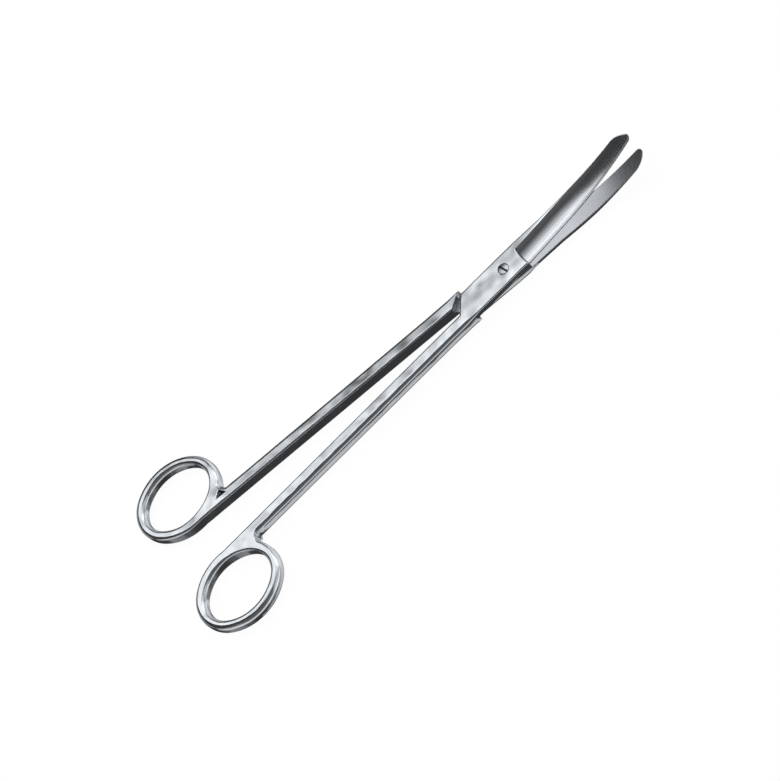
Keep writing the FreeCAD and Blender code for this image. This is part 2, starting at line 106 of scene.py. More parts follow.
# Blade: its reach and back, the nose, the turn at the tip, the cutting edge, the bevel, the hollow, the bow.
REACH, BACK = 56.65, 4.2
NOSE_START, NOSE_RADIUS, NOSE_OFFSET = 51.5, 6.4, 1.6
TIP_RADIUS, TIP_TURN, TIP_SINK = 1.3, 1.6, 0.13
EDGE_ROOT, EDGE_SLOPE, EDGE_LAND = 4.5, math.tan(math.radians(3.8)), 0.12
BEVEL_WIDTH, BEVEL_HEIGHT = 0.7, 0.24
HOLLOW_WIDTH, HOLLOW_RADIUS = 6.3, 8.5
BOW_START, BOW_RADIUS, TIP_THICKNESS = 25.0, 108.0, 1.6
# Rounded edges: backs of the blades, lap, inner and outer side of the shank, web, rim and hole of the ring.
BACK_EDGE, LOWER_BACK_EDGE, LAP_EDGE, INNER_EDGE, OUTER_EDGE = 0.42, 1.6, 0.42, 0.62, 1.25
EDGE_HIGH = 0.9
BROKEN_WIDE, BROKEN_HIGH, BROW_EDGE = 0.2, 0.18, 0.3
WEB_WIDE, WEB_HIGH, RIM_WIDE, RIM_HIGH = 0.6, 0.7, 1.5, 1.8
NECK_HOLE_WIDE, NECK_HOLE_HIGH, HOLE_EDGE_WIDE, HOLE_EDGE_HIGH = 0.7, 0.9, 1.2, 1.7
# The slope that the die leaves on the lap side of the shank, and half the opening in the photograph.
DRAFT = 0.035
REST_ANGLE = math.radians(3.15)

END_RISE = HOLE_LONG - END_RADIUS
SIDE_RADIUS = (HOLE_WIDE**2 + END_RISE**2 - END_RADIUS**2) / (2 * (HOLE_WIDE - END_RADIUS))
SIDE_SHIFT = SIDE_RADIUS - HOLE_WIDE
shoulder_slope = (STOP_INNER - STOP_OUTER + STOP_WEDGE) / (JOINT_HALF - SLOT)
shoulder_inner = STOP_OUTER + STOP_GAP + (JOINT_HALF - SLOT) * shoulder_slope
print("side arc of a ring", round(SIDE_RADIUS, 2), "mm; shoulder ends", round(shoulder_inner, 2), "mm down")

# %% [markdown]
# ## Lines in plan
# A half is a plate in plan with soft edges, so its two outlines come first: the left one runs along the
# back of the blade, round the angled end of the lap and down the inner side of the shank, the right one
# along the cutting edge and the outer side. Each is cut into the same legs, and a row of the surface joins
# a place on the one with its partner on the other. At the shoulders the rows lean with the step, so no step
# looks like stairs.

# %% Draw lines and arcs as arrays


def line(start, finish, count, power=1.0):
    """Points start + (finish - start) * u ** power, with u in count even steps, without the last one."""
    part = (np.arange(count) / count)[:, None] ** power
    return np.array(start) + (np.array(finish) - np.array(start)) * part


def arc(centre, radius, begin, end, count):
    """Points centre + radius * (cos, sin) of angles from begin to end in degrees, without the last one."""
    angle = np.radians(begin + (end - begin) * np.arange(count) / count)
    return np.array(centre) + radius * np.stack((np.cos(angle), np.sin(angle)), axis=1)


def arc_between(start, finish, radius, side, count):
    """The arc of that radius between two points, bulging to the right of the way for side +1, else left."""
    start, finish = np.array(start), np.array(finish)
    chord = finish - start
    length = np.hypot(*chord)
    left = np.array((-chord[1], chord[0])) / length
    centre = (start + finish) / 2 + left * side * math.sqrt(radius**2 - (length / 2) ** 2)
    begin = math.degrees(math.atan2(*(start - centre)[::-1]))
    turn = side * 2 * math.degrees(math.asin(length / 2 / radius))
    return arc(centre, radius, begin, begin + turn, count)


def along(points, count, power=1.0):
    """The same polyline, cut again at count places by its length; power above 1 draws them to its start."""
    steps = np.hypot(*np.diff(points, axis=0).T)
    reach = np.concatenate(([0.0], np.cumsum(steps)))
    places = reach[-1] * (np.arange(count) / count) ** power
    return np.stack([np.interp(places, reach, points[:, axis]) for axis in (0, 1)], axis=1)


def edge_x(y):
    """The cutting edge: it starts 4.5 mm out, level with the pivot, and leans to the centre line."""
    return EDGE_ROOT - y * EDGE_SLOPE


def on_edge(y):
    """The place on the cutting edge at that y."""
    return edge_x(y), y


def away_from(points, path):
    """The shortest way from each point to a polyline, by a perpendicular on each of its pieces, and where."""
    start, step = path[:-1], np.diff(path, axis=0)
    best = np.full(len(points), np.inf)
    nearest = np.zeros(len(points))
    for number in range(len(start)):
        gap = points - start[number]
        share = np.clip((gap @ step[number]) / max(step[number] @ step[number], 1e-12), 0.0, 1.0)
        far = np.hypot(*(gap - share[:, None] * step[number]).T)
        closer = far < best
        best = np.where(closer, far, best)
        nearest = np.where(closer, number + share, nearest)
    return best, nearest


EDGE_STRAIGHT = 49.7
tip = (-NOSE_OFFSET, REACH - TIP_SINK)
edge_end = on_edge(REACH - TIP_RADIUS)
nose = np.vstack((arc_between(tip, (-BACK, NOSE_START), NOSE_RADIUS, 1, 60), [(-BACK, NOSE_START)]))
tip_turn = arc_between(tip, edge_end, TIP_TURN, -1, 30)
tip_edge = np.vstack((tip_turn, [edge_end, on_edge(EDGE_STRAIGHT)]))
print("nose starts", nose[1].round(2), "tip turns by", tip_turn[1].round(2))

# %% [markdown]
# ## Rows from the tip to the neck
# The rows run from the tip over the blade, the shoulder, the joint and the shank to where the neck of the
# ring starts. Every leg below has a left end, a right end and a number of rows. Rows are close where the
# shape turns.

# %% Lay out the rows
ROOT_BACK, ROOT_EDGE, FOOT, BROW = 20.0, 19.8, 8.2, 6.2
BACK_FOOT, BACK_BASE, BACK_CORNER, BACK_BROW, BACK_JOINT = -4.78, -4.83, -4.85, -4.86, -4.87
BROW_START = FRONT - 0.05
LAP_TOP, LAP_MIDDLE, LAP_LOW = 0.4, -10.6, -14.8
DROP_LEFT, DROP_RIGHT, SHANK_LEFT, SHANK_RIGHT = -20.84, -15.54, -22.0, -16.8
lap_corner = (-JOINT_HALF, -STOP_OUTER)
lap_end = (SLOT, -STOP_INNER)
step_left, step_right = (SLOT, -shoulder_inner), (JOINT_HALF, -STOP_OUTER - STOP_GAP)
shank_left, shank_right = (SLOT, SHANK_LEFT), (JOINT_HALF, SHANK_RIGHT)
wrist_left, wrist_right = (SLOT, -WRIST_Y), (WRIST_X, -WRIST_Y)
base_y = FRONT + SHOULDER_RUN


def outer_side(start, finish, count):
    """Places on the outer side of the joint from one y to the other."""
    return line((JOINT_HALF, start), (JOINT_HALF, finish), count)


legs = [
    ("nose", along(nose, 70, 1.5), along(tip_edge, 70, 1.35)),
    ("blade", line((-BACK, NOSE_START), (-BACK, ROOT_BACK), 80),
     line(on_edge(EDGE_STRAIGHT), on_edge(ROOT_EDGE), 80)),
    ("root", line((-BACK, ROOT_BACK), (BACK_FOOT, FOOT), 34), line(on_edge(ROOT_EDGE), on_edge(FOOT), 34)),
    ("foot", line((BACK_FOOT, FOOT), (BACK_BASE, base_y), 5), line(on_edge(FOOT), on_edge(base_y), 5)),
    ("base", np.array([(BACK_BASE, base_y)]), np.array([on_edge(base_y)])),
    ("rise", np.array([(BACK_CORNER, FRONT)]), np.array([(JOINT_HALF, FRONT)])),
    ("brow", line((BACK_CORNER, BROW_START), (BACK_BROW, BROW), 10), outer_side(BROW_START, BROW, 10)),
    ("joint", line((BACK_JOINT, BROW), (-JOINT_HALF, 0.0), 22), outer_side(BROW, LAP_TOP, 22)),
    ("lap", line((-JOINT_HALF, 0.0), lap_corner, 44), outer_side(LAP_TOP, LAP_MIDDLE, 44)),
    ("end", line(lap_corner, lap_end, 26), outer_side(LAP_MIDDLE, LAP_LOW, 26)),
    ("near", line(lap_end, step_left, 5), line((JOINT_HALF, LAP_LOW), step_right, 5)),
    ("edge", np.array([step_left]), np.array([step_right])),
    ("drop", line((SLOT, DROP_LEFT), shank_left, 6), line((JOINT_HALF, DROP_RIGHT), shank_right, 6)),
    ("shank", line(shank_left, wrist_left, 90), line(shank_right, wrist_right, 90)),
    ("wrist", np.array([wrist_left]), np.array([wrist_right])),
]
BLADE_LEGS = ("nose", "blade", "root", "foot", "base")
names = np.concatenate([[name] * len(left) for name, left, _ in legs])
left_end = np.vstack([left for _, left, _ in legs])
right_end = np.vstack([right for _, _, right in legs])
print("rows", len(names))

# %% [markdown]
# ## Columns across a row
# Each row has a left zone, a middle and a right zone. On the blade they are the flat land along the back,
# the hollow grinding and the honed bevel; on the joint and the shank they are the rounded edges and the
# flat face.

# %% Spread the columns
LEFT_COLUMNS, MIDDLE_COLUMNS, RIGHT_COLUMNS = 12, 26, 14
COLUMNS = LEFT_COLUMNS + MIDDLE_COLUMNS + RIGHT_COLUMNS
LEFT_ZONE, RIGHT_ZONE, LEAST_LAND = 0.7, 0.9, 0.3
LEFT_SHARE, BEVEL_SHARE = 0.42, 0.45
THINNEST = 0.03


def bow_of(reach, bend):
    """The bow of the sliding face: the drop of a circle of 108 mm radius that starts 25 mm from the pivot."""
    run = np.clip(reach - BOW_START, 0.0, None)
    return bend * (BOW_RADIUS - np.sqrt(BOW_RADIUS**2 - run**2))


def outer_bow(reach, bend):
    """The bow of the outer face: a circle that brings the back of the blade to 1.6 mm at the tip."""
    whole_run = REACH - BOW_START
    drop = HALF - TIP_THICKNESS - bow_of(np.array(REACH), bend)
    radius = (whole_run**2 + drop**2) / (2 * abs(drop))
    run = np.clip(reach - BOW_START, 0.0, None)
    return bend * (radius - np.sqrt(radius**2 - run**2))


def hollow_height(across):
    """The ground side over its distance from the cutting edge: a straight bevel, then a hollow circle."""
    bevel = EDGE_LAND + (BEVEL_HEIGHT - EDGE_LAND) * across / BEVEL_WIDTH
    first = np.array((BEVEL_WIDTH, BEVEL_HEIGHT))
    last = np.array((HOLLOW_WIDTH, HALF - FACE))
    chord = last - first
    length = np.hypot(*chord)
    up = np.array((-chord[1], chord[0])) / length
    centre = (first + last) / 2 + up * math.sqrt(HOLLOW_RADIUS**2 - (length / 2) ** 2)
    inside = np.clip(HOLLOW_RADIUS**2 - (across - centre[0]) ** 2, 0.0, None)
    hollow = centre[1] - np.sqrt(inside)
    return np.where(across < BEVEL_WIDTH, bevel, hollow)


def hollow_reach(height):
    """The distance from the cutting edge at which the hollow grinding has come up to that height."""
    across = np.linspace(BEVEL_WIDTH, HOLLOW_WIDTH + 2.0, 400)
    return np.interp(height, hollow_height(across), across)


def land_width(left, right, bend):
    """The land is what the hollow leaves of a row: its width less the hollow's reach from the edge."""
    y = left[:, 1]
    height = HALF + outer_bow(y, bend) - FACE - bow_of(y, bend)
    reach = hollow_reach(height) * math.sqrt(1 + EDGE_SLOPE**2)
    width = np.hypot(*(right - left).T)
    return np.clip(width - reach, 0.0, None)


print("hollow reaches", hollow_reach(np.array((1.6, HALF - FACE))).round(2), "mm from the cutting edge")

# %% [markdown]
# ## One row becomes a closed loop
# A row is carried up and down from the plan: up the left wall, over the outer face, down the right wall and
# back along the face of the lap. The edges are rounded with a quarter of an ellipse over the distance from
# the outline.

# %% Work out the heights
# Where along the half one form passes into the next, in mm down from the pivot.
LAND_FADES, ZONE_WIDENS = (-6.9, -1.0), (12.0, 20.0)
LEFT_EDGE_CHANGES, RIGHT_EDGE_CHANGES = (-9.0, -5.0), (13.0, 21.0)
DRAFT_STARTS, DRAFT_ENDS = (22.0, 30.0), (104.0, 112.0)
ROWS_BEND, ROWS_STRAIGHT = (-10.0, -FRONT), (-6.0, -3.0)


def rounded(distance, wide, high):
    """The drop of a rounded edge: a quarter ellipse from its full height at the outline to nothing."""
    part = np.clip(1.0 - distance / wide, 0.0, 1.0)
    return high * (1.0 - np.sqrt(1.0 - part**2))


def soft_step(value, begin, end):
    """0 before begin, 1 after end, and a smooth s between them: 3 u ** 2 - 2 u ** 3."""
    part = np.clip((value - begin) / (end - begin), 0.0, 1.0)
    return part * part * (3.0 - 2.0 * part)


def shoulder_line(x):
    """How far the curved shoulder lies from the pivot: a circle of 13 mm through its two ends."""
    first, last = edge_x(FRONT) - HOLLOW_WIDTH, JOINT_HALF
    half = (last - first) / 2
    across = np.clip(x - (first + last) / 2, -half, half)
    rise = math.sqrt(SHOULDER_RADIUS**2 - half**2)
    return FRONT - (np.sqrt(SHOULDER_RADIUS**2 - across**2) - rise)


def zone_widths(bend):
    """The left and right zones of every row: land and bevel on the blade, the rounded edges elsewhere."""
    width = np.hypot(*(right_end - left_end).T)
    blade = np.isin(names, BLADE_LEGS + ("rise",))
    land = np.maximum(land_width(left_end, right_end, bend), LEAST_LAND)
    base_land = land[names == "base"][0]
    fading = base_land + (LEFT_ZONE - base_land) * soft_step(-left_end[:, 1], *LAND_FADES)
    left = np.where(blade, land, fading)
    left = np.where(names == "rise", base_land, left)
    left = np.minimum(left, LEFT_SHARE * width)
    right = np.where(blade, np.minimum(BEVEL_WIDTH, BEVEL_SHARE * width), RIGHT_ZONE)
    right = right + RIGHT_ZONE * soft_step(-right_end[:, 1], *ZONE_WIDENS) * ~blade
    return width, left, right


def row_places(bend):
    """The share of its row at which each column stands: steps in the three zones, closer at the edges."""
    width, left, right = zone_widths(bend)
    edge_part = (np.arange(LEFT_COLUMNS) / LEFT_COLUMNS) ** 1.6
    middle_part = np.arange(MIDDLE_COLUMNS) / MIDDLE_COLUMNS
    right_part = np.arange(RIGHT_COLUMNS + 1) / RIGHT_COLUMNS
    zone_left = left[:, None] * edge_part
    zone_middle = left[:, None] + (width - left - right)[:, None] * middle_part
    even = (width - right)[:, None] + right[:, None] * right_part
    close = width[:, None] - right[:, None] * (1 - right_part) ** 1.5
    on_blade = np.isin(names, BLADE_LEGS)[:, None]
    zone_right = np.where(on_blade, even, close)
    return np.hstack((zone_left, zone_middle, zone_right)) / width[:, None]


def edge_sizes(y_left, y_right, bend):
    """How far the rounding reaches in, left and right: the blade's size, then in an s to the shank's."""
    back = BACK_EDGE if bend > 0 else LOWER_BACK_EDGE
    left = back + (INNER_EDGE - back) * soft_step(-y_left, *LEFT_EDGE_CHANGES)
    right = LAP_EDGE + (OUTER_EDGE - LAP_EDGE) * soft_step(-y_right, *RIGHT_EDGE_CHANGES)
    return left, right


def shank_draft(x, y):
    """The die's slope under the shank: DRAFT times the way from the slit, gone at joint and wrist."""
    ends = soft_step(-y, *DRAFT_STARTS) * (1.0 - soft_step(-y, *DRAFT_ENDS))
    return DRAFT * np.clip(x - SLOT, 0.0, None) * ends


def half_rows(bend):
    """Plan places and heights of the whole half: x, y, upper z and lower z, one row of each per row."""
    share = row_places(bend)[:, :, None]
    plan = left_end[:, None, :] * (1 - share) + right_end[:, None, :] * share
    bent = soft_step(-plan[:, :, 1], *ROWS_BEND) * (1.0 - soft_step(-plan[:, :, 1], *ROWS_STRAIGHT))
    plan[:, :, 1] += (shoulder_line(plan[:, :, 0]) - FRONT) * bent
    x, y = plan[:, :, 0], plan[:, :, 1]

    flat = plan.reshape(-1, 2)
    from_left = away_from(flat, left_end)[0].reshape(x.shape)
    from_right = away_from(flat, right_end[1:])[0].reshape(x.shape)
    across = (edge_x(y) - x) / math.sqrt(1 + EDGE_SLOPE**2)
    inner = FACE + bow_of(np.hypot(x, y), bend)
    ground = FACE + bow_of(y, bend) + hollow_height(np.maximum(across, 0.0))
    outer = HALF + outer_bow(y, bend)
    is_blade = np.isin(names, BLADE_LEGS)[:, None]
    top = np.where(is_blade, np.minimum(outer, np.maximum(ground, inner + 2 * THINNEST)), HALF)

    wide_left, wide_right = edge_sizes(left_end[:, 1], right_end[:, 1], bend)
    drop_left = rounded(from_left, wide_left[:, None], wide_left[:, None] * EDGE_HIGH)
    drop_right = rounded(from_right, wide_right[:, None], wide_right[:, None])
    top = top - drop_left - np.where(is_blade, 0.0, drop_right)
    near_step = ~is_blade & (across < HOLLOW_WIDTH) & (y > 5.0)
    brow = np.maximum(shoulder_line(x) - y, 0.0)
    top = top - np.where(near_step, rounded(brow, BROW_EDGE, BROW_EDGE), 0.0)

    is_lap = ~np.isin(names, ("drop", "shank", "wrist"))[:, None]
    under = -HALF + drop_left + drop_right + shank_draft(x, y)
    broken = rounded(from_left, BROKEN_WIDE, BROKEN_HIGH) * (y > 9.0)
    low = np.where(is_lap, inner + broken, under)
    return x, y, np.maximum(top, low + THINNEST), low


rows = half_rows(1)
print("grid", rows[0].shape, "tip from", rows[3][0].min().round(2), "to", rows[2][0].max().round(2), "mm")

# %% [markdown]
# ## The ring and its web
# The finger ring is one with the shank, so its surface is welded to the last row. It is a plate round the
# hole too: every column joins a place on the edge of the hole with one outside it. Where the shank comes
# in, the outside is the last row of the shank. The edges are rounded much more here, so that nothing cuts
# the fingers. Between ring and shank is a thin web, which the die leaves hollow on the side of the lap.

# %% Lay out the ring
WALL_STEPS, RING_COLUMNS, RING_STEPS = 6, 54, 200
FILLET_STEPS, INNER_STEPS, SHARED_ROWS = 30, 26, 5
MEETING = math.degrees(math.atan2(END_RISE, SIDE_SHIFT))
web_centre = np.array((WRIST_X + WEB_RADIUS, -WRIST_Y))
end_centre = np.array((RING_X, END_RISE - RING_Y))
to_ring = (end_centre - web_centre) / np.hypot(*(end_centre - web_centre))
FOOT_ANGLE = math.degrees(math.atan2(*(-to_ring)[::-1]))
BESIDE_ANGLE, INSIDE_ANGLE = 131.0, 150.0
# The hollow of the web: a triangle that starts at one x, between two lines with their y there and slopes.
WEB_X, WEB_TOP, TOP_SLOPE, WEB_BOTTOM, BOTTOM_SLOPE = 2.8, -113.0, 0.83, -117.6, 0.95
WEB_LEAN, WEB_RUN, WEB_FINISH = 0.75, 0.8, 0.12
LEAVING_ANGLE = math.degrees(math.acos((SLOT - RING_X - SIDE_SHIFT) / (SIDE_RADIUS + RING_WALL)))


def hole_edge(angle):
    """The oval hole by the direction of its wall: four arcs that run into each other, ends and sides."""
    turn = np.mod(angle, 360.0)
    on_end = (np.abs(np.mod(turn, 180.0) - 90.0)) < 90.0 - MEETING
    rise = np.where(on_end, np.where(turn < 180.0, END_RISE, -END_RISE), 0.0)
    shift = np.where(on_end, 0.0, np.where((turn > 90.0) & (turn < 270.0), SIDE_SHIFT, -SIDE_SHIFT))
    radius = np.where(on_end, END_RADIUS, SIDE_RADIUS)
    radians = np.radians(turn)
    x = RING_X + shift + radius * np.cos(radians)
    y = rise - RING_Y + radius * np.sin(radians)
    return np.stack((x, y), axis=1)


def ring_lines(cut_share):
    """Hole edge and outer edge, point by point: last row, fillet, round the ring, inner side."""
    cut_angle = INSIDE_ANGLE + (BESIDE_ANGLE - INSIDE_ANGLE) * np.linspace(0, 1, len(cut_share))
    cut = np.array(wrist_left) * (1 - cut_share)[:, None] + np.array(wrist_right) * cut_share[:, None]
    fillet_angle = np.linspace(BESIDE_ANGLE, FOOT_ANGLE, FILLET_STEPS + 1)[1:]
    fillet = arc(web_centre, WEB_RADIUS, 180.0, 180.0 + FOOT_ANGLE, FILLET_STEPS)[1:]
    round_angle = np.linspace(FOOT_ANGLE, LEAVING_ANGLE - 360.0, RING_STEPS)
    heading = np.radians(round_angle)
    ring = hole_edge(round_angle) + RING_WALL * np.stack((np.cos(heading), np.sin(heading)), axis=1)
    up_angle = np.linspace(LEAVING_ANGLE, INSIDE_ANGLE, INNER_STEPS)[1:-1] - 360.0
    up = np.linspace(ring[-1], np.array(wrist_left), INNER_STEPS)[1:-1]
    hole = hole_edge(np.concatenate((cut_angle, fillet_angle[:-1], round_angle, up_angle)))
    return hole, np.vstack((cut, fillet, ring, up))


def inside_web(x, y):
    """How far a place in plan lies inside the hollow of the web: the least way to the sides of a triangle."""
    past = x - WEB_X
    sides = np.minimum(WEB_TOP - y - TOP_SLOPE * past, y - WEB_BOTTOM - BOTTOM_SLOPE * past)
    return np.minimum(sides * WEB_LEAN, past)


def ring_rows(cut_share):
    """Plan places and heights of the ring: every column from the hole's edge to the outer edge."""
    hole, outside = ring_lines(cut_share)
    part = (0.5 - 0.5 * np.cos(np.pi * np.linspace(0, 1, RING_COLUMNS + 1)))[None, :, None]
    plan = hole[:, None, :] * (1 - part) + outside[:, None, :] * part
    x, y = plan[:, :, 0], plan[:, :, 1]

    # Each edge: its line, the numbers of the places where its rounding changes, and how wide and high it is.
    rim = np.vstack((right_end[-SHARED_ROWS - 1:-1], outside[len(cut_share) - 1:], [wrist_left],
                     left_end[-2:-SHARED_ROWS - 2:-1]))
    first = SHARED_ROWS + FILLET_STEPS
    last = first + RING_STEPS
    start = len(cut_share) + FILLET_STEPS - 1
    edges = (
        (rim, (SHARED_ROWS, 14, first - 8, first + 20, last - 75, last),
         (OUTER_EDGE, WEB_WIDE, WEB_WIDE, RIM_WIDE, RIM_WIDE, INNER_EDGE),
         (OUTER_EDGE, WEB_HIGH, WEB_HIGH, RIM_HIGH, RIM_HIGH, INNER_EDGE * EDGE_HIGH)),
        (np.vstack((hole, hole[:1])), (start, start + 26, start + RING_STEPS - 20, start + RING_STEPS),
         (NECK_HOLE_WIDE, HOLE_EDGE_WIDE, HOLE_EDGE_WIDE, NECK_HOLE_WIDE),
         (NECK_HOLE_HIGH, HOLE_EDGE_HIGH, HOLE_EDGE_HIGH, NECK_HOLE_HIGH)),
    )
    drop = np.zeros(x.size)
    for path, numbers, wide, high in edges:
        distance, nearest = away_from(plan.reshape(-1, 2), path)
        drop += rounded(distance, np.interp(nearest, numbers, wide), np.interp(nearest, numbers, high))
    drop = drop.reshape(x.shape)
    recess = WEB_DEEP * soft_step(inside_web(x, y), 0.0, WEB_RUN)
    return x, y, HALF - drop, recess + drop - HALF


share_at_cut = row_places(1)[-1]
ring = ring_rows(share_at_cut)
print("ring grid", ring[0].shape, "angles", round(FOOT_ANGLE, 1), round(LEAVING_ANGLE, 1))

# %% [markdown]
# ## From arrays to one closed mesh
# The loops of the rows and the loops of the ring become faces by counting: face (r, c) joins four
# neighbours of the grid. The two grids share the places of the last row, where they are merged. Each face
# also keeps which finish it has: polished forging, hollow ground, ground inner face, honed edge, or a rough
# corner that no wheel reaches, whose dark colour is painted shade, as at the shoulder, at the step behind the
# lap and in the hollow of the web.

# %% Build a half
# SHADED_CORNER is the rough corner finish, whose dark colour is painted shade.
POLISHED, HOLLOW, INNER, HONED, SHADED_CORNER = FINISHES = range(5)
TIP_ROWS = 3


def wall_between(low, high):
    """Heights from low to high in even steps, both left out."""
    part = np.arange(1, WALL_STEPS) / WALL_STEPS
    return low[:, None] * (1 - part) + high[:, None] * part


def loops_of(x, y, top, low):
    """Rows as closed loops of points: wall at their start, upper face, other wall, lower face."""
    walls = np.ones(WALL_STEPS - 1)
    loop_x, loop_y = (np.hstack((plan[:, :1] * walls, plan, plan[:, -1:] * walls, plan[:, ::-1]))
                      for plan in (x, y))
    first_wall, other_wall = wall_between(low[:, 0], top[:, 0]), wall_between(top[:, -1], low[:, -1])
    return np.stack((loop_x, loop_y, np.hstack((first_wall, top, other_wall, low[:, ::-1]))), axis=2)


def grid_faces(rows, columns, rows_closed):
    """Quads of a grid whose columns close on themselves, and whose rows do so if rows_closed."""
    row = np.arange(rows if rows_closed else rows - 1)[:, None]
    column = np.arange(columns)[None, :]
    right = (column + 1) % columns
    below = (row + 1) % rows
    here, under = row * columns, below * columns
    corners = (here + column, under + column, under + right, here + right)
    return np.stack([np.broadcast_to(corner, (len(row), columns)) for corner in corners], axis=2)


def finish_of_faces(loop_count):
    """The finish of every face of the rows, by its leg and by where it lies round its loop."""
    leg = names[TIP_ROWS:-1]
    kind = np.full((len(leg), loop_count), POLISHED)
    land = WALL_STEPS - 1
    hollow = land + LEFT_COLUMNS
    bevel = hollow + MIDDLE_COLUMNS
    under = land + COLUMNS + WALL_STEPS
    ground_legs = np.isin(leg, BLADE_LEGS[:-1])
    kind[ground_legs, hollow:bevel] = HOLLOW
    kind[ground_legs, bevel:land + COLUMNS] = HONED
    # Painted shade: the foot of the shoulder and the step behind the lap get the corner finish, darkened as
    # shade.
    kind[leg == "base", hollow:land + COLUMNS] = SHADED_CORNER
    kind[~np.isin(leg, ("edge", "drop", "shank")), under:-1] = INNER
    kind[np.flatnonzero(leg == "near")[-1], under:-1] = SHADED_CORNER
    return kind


def half_points(bend):
    """The points and faces of one half in its own closed frame, ready to be merged along the last row."""
    body = loops_of(*(values[TIP_ROWS:] for values in half_rows(bend)))
    ring = loops_of(*ring_rows(row_places(bend)[-1]))
    body_faces = grid_faces(*body.shape[:2], False)
    ring_faces = grid_faces(*ring.shape[:2], True)
    wall_start = WALL_STEPS - 1 + RING_COLUMNS
    keep = np.ones(ring_faces.shape[:2], dtype=bool)
    keep[:COLUMNS, wall_start:wall_start + WALL_STEPS] = False
    ring_faces = ring_faces[keep] + body.shape[0] * body.shape[1]
    points = np.vstack((body.reshape(-1, 3), ring.reshape(-1, 3)))
    x, y, z = points[ring_faces].mean(axis=1).T
    # Painted shade: the hollow of the web under the ring gets the darkened corner finish.
    in_web = (inside_web(x, y) > WEB_FINISH) & (z < -HALF / 2)
    kinds = np.concatenate((finish_of_faces(body.shape[1]).reshape(-1), np.where(in_web, SHADED_CORNER, POLISHED)))
    return points, np.vstack((body_faces.reshape(-1, 4), ring_faces)), kinds, np.arange(body.shape[1])


points, faces, kinds, cap = half_points(1)
print("half:", len(points), "points", len(faces), "faces")

# %% [markdown]
# ## Objects from the arrays
# A half is merged, closed at its tip and its faces are turned outwards. Then it goes to its place: the
# upper half turns about the pivot by its share of the opening, and the lower one is turned over about Y
# first. The seat and the bore for the screw are cut by a turned cutter, as a drill does it, because a grid
# can't hold a round hole.

# %% Make meshes
collection = bpy.context.scene.collection
SAME_PLACE = 1e-7
CUTTER_END, TURNED_SIDES, SHARP_FROM = 9, 96, math.radians(32)


def place_half(points, bend):
    """Own frame to metres of the object's frame: lower half turned over, then turned in plan and lifted."""
    x, y, z = points.T
    if bend < 0:
        x, z = -x, -z
    angle = bend * REST_ANGLE
    turned_x = x * math.cos(angle) - y * math.sin(angle)
    turned_y = x * math.sin(angle) + y * math.cos(angle)
    return np.stack((turned_x, turned_y, z + HALF), axis=1) * MM


def new_object(name, points, faces, kinds=None, cap=None):
    """A mesh from arrays: doubles merged, loose points gone, the cap closed and all faces turned outwards."""
    mesh = bpy.data.meshes.new(name)
    all_faces = [list(face) for face in faces] + ([list(cap)] if cap is not None else [])
    mesh.from_pydata(points.tolist(), [], all_faces)
    if kinds is not None:
        mesh.polygons.foreach_set("material_index", np.append(kinds, POLISHED).astype(np.int32))
    work = bmesh.new()
    work.from_mesh(mesh)
    bmesh.ops.remove_doubles(work, verts=work.verts, dist=SAME_PLACE)
    loose = [vertex for vertex in work.verts if not vertex.link_faces]
    bmesh.ops.delete(work, geom=loose, context="VERTS")
    bmesh.ops.recalc_face_normals(work, faces=work.faces)
    open_edges = sum(1 for edge in work.edges if len(edge.link_faces) != 2)
    volume = work.calc_volume(signed=True)
    work.to_mesh(mesh)
    work.free()
    piece = bpy.data.objects.new(name, mesh)
    collection.objects.link(piece)
    print(name, len(mesh.polygons), "faces,", open_edges, "open edges,", round(volume / MM**3, 1), "mm3")
    return piece


def turned(profile):
    """A (radius, height) profile turned about Z: points r cos a, r sin a, z + HALF in metres, and faces."""
    angle = np.arange(TURNED_SIDES) * 2 * math.pi / TURNED_SIDES
    radius, height = np.array(profile, dtype=float).T[:, :, None]
    rim = np.stack((radius * np.cos(angle), radius * np.sin(angle), height + HALF + 0 * angle), axis=2)
    return rim.reshape(-1, 3) * MM, grid_faces(len(profile), TURNED_SIDES, False).reshape(-1, 4)


def cut_away(piece, cutter):
    """Takes the cutter out of the piece with an exact Boolean, keeps the result and removes the cutter."""
    cut = piece.modifiers.new("cut", "BOOLEAN")
    cut.operation = "DIFFERENCE"
    cut.solver = "EXACT"
    cut.object = cutter
    bpy.context.view_layer.update()
    evaluated = piece.evaluated_get(bpy.context.evaluated_depsgraph_get())
    result = bpy.data.meshes.new_from_object(evaluated)
    piece.modifiers.clear()
    old = piece.data
    piece.data = result
    result.name = piece.name
    bpy.data.meshes.remove(old)
    bpy.data.objects.remove(cutter)


def smooth_with_edges(piece):
    """Smooth shading that breaks where two faces meet more sharply than the angle."""
    piece.data.polygons.foreach_set("use_smooth", np.ones(len(piece.data.polygons), dtype=bool))
    piece.data.set_sharp_from_angle(angle=SHARP_FROM)


HEAD, HEAD_DEEP, HEAD_CROWN, HEAD_PLAY = 1.85, 0.85, 0.12, 0.1
PIN, PIN_PLAY, THREAD, THREAD_PLAY = 1.4, 0.03, 1.15, 0.01
COUNTERSINK, CHAMFER = 0.06, 0.08
seat_radius, bore_radius = HEAD + HEAD_PLAY, THREAD + THREAD_PLAY
seat = [(0, -CUTTER_END), (PIN + PIN_PLAY, -CUTTER_END), (PIN + PIN_PLAY, HALF - HEAD_DEEP),
        (seat_radius, HALF - HEAD_DEEP), (seat_radius, HALF - COUNTERSINK), (seat_radius + CHAMFER, HALF),
        (seat_radius + 0.1, CUTTER_END), (0, CUTTER_END)]
bore = [(0, -CUTTER_END), (THREAD + 0.09, -CUTTER_END), (THREAD + 0.09, -HALF - 0.01),
        (bore_radius, -HALF + CHAMFER), (bore_radius, CUTTER_END), (0, CUTTER_END)]

